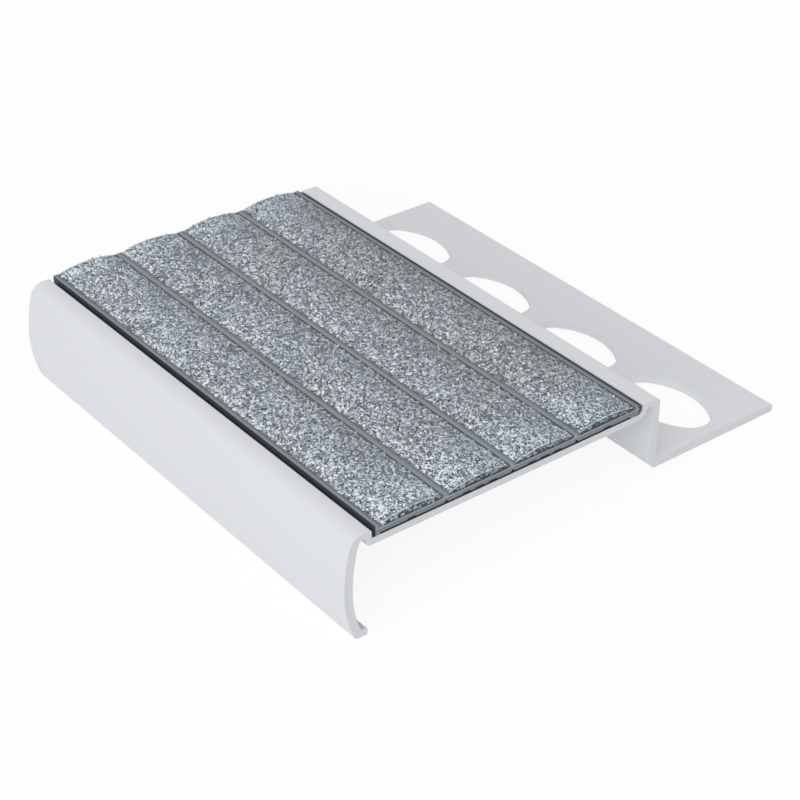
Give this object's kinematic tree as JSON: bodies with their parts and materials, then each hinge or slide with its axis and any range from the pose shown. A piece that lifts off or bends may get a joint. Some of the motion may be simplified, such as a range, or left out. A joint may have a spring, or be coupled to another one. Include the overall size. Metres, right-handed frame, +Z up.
{
  "type": "stair nosing",
  "caption": "Cut length of extruded stair nosing with a hooked bull nose, a recessed tread filled with crowned abrasive strips, and a perforated flange bedded under the tread tiles.",
  "frame": {"origin": "on the bedding face under the flange, at mid-length, on the line of the flange holes", "axes": "+X along the stock, +Y from the nose to the flange, +Z up from the bedding face to the tread"},
  "size_m": [0.1, 0.0968, 0.0215],
  "materials": {
    "profile": "satin silver-grey anodised extrusion with a faint draw along its length",
    "tray": "smooth mid-grey extruded carrier",
    "grit": "coarse blue-grey abrasive grain set in dark resin"
  },
  "bodies": {
    "root": {"nosing_profile": "profile", "insert_tray": "tray", "grit_strip_1": "grit", "grit_strip_2": "grit", "grit_strip_3": "grit", "grit_strip_4": "grit"}
  },
  "joints": []
}
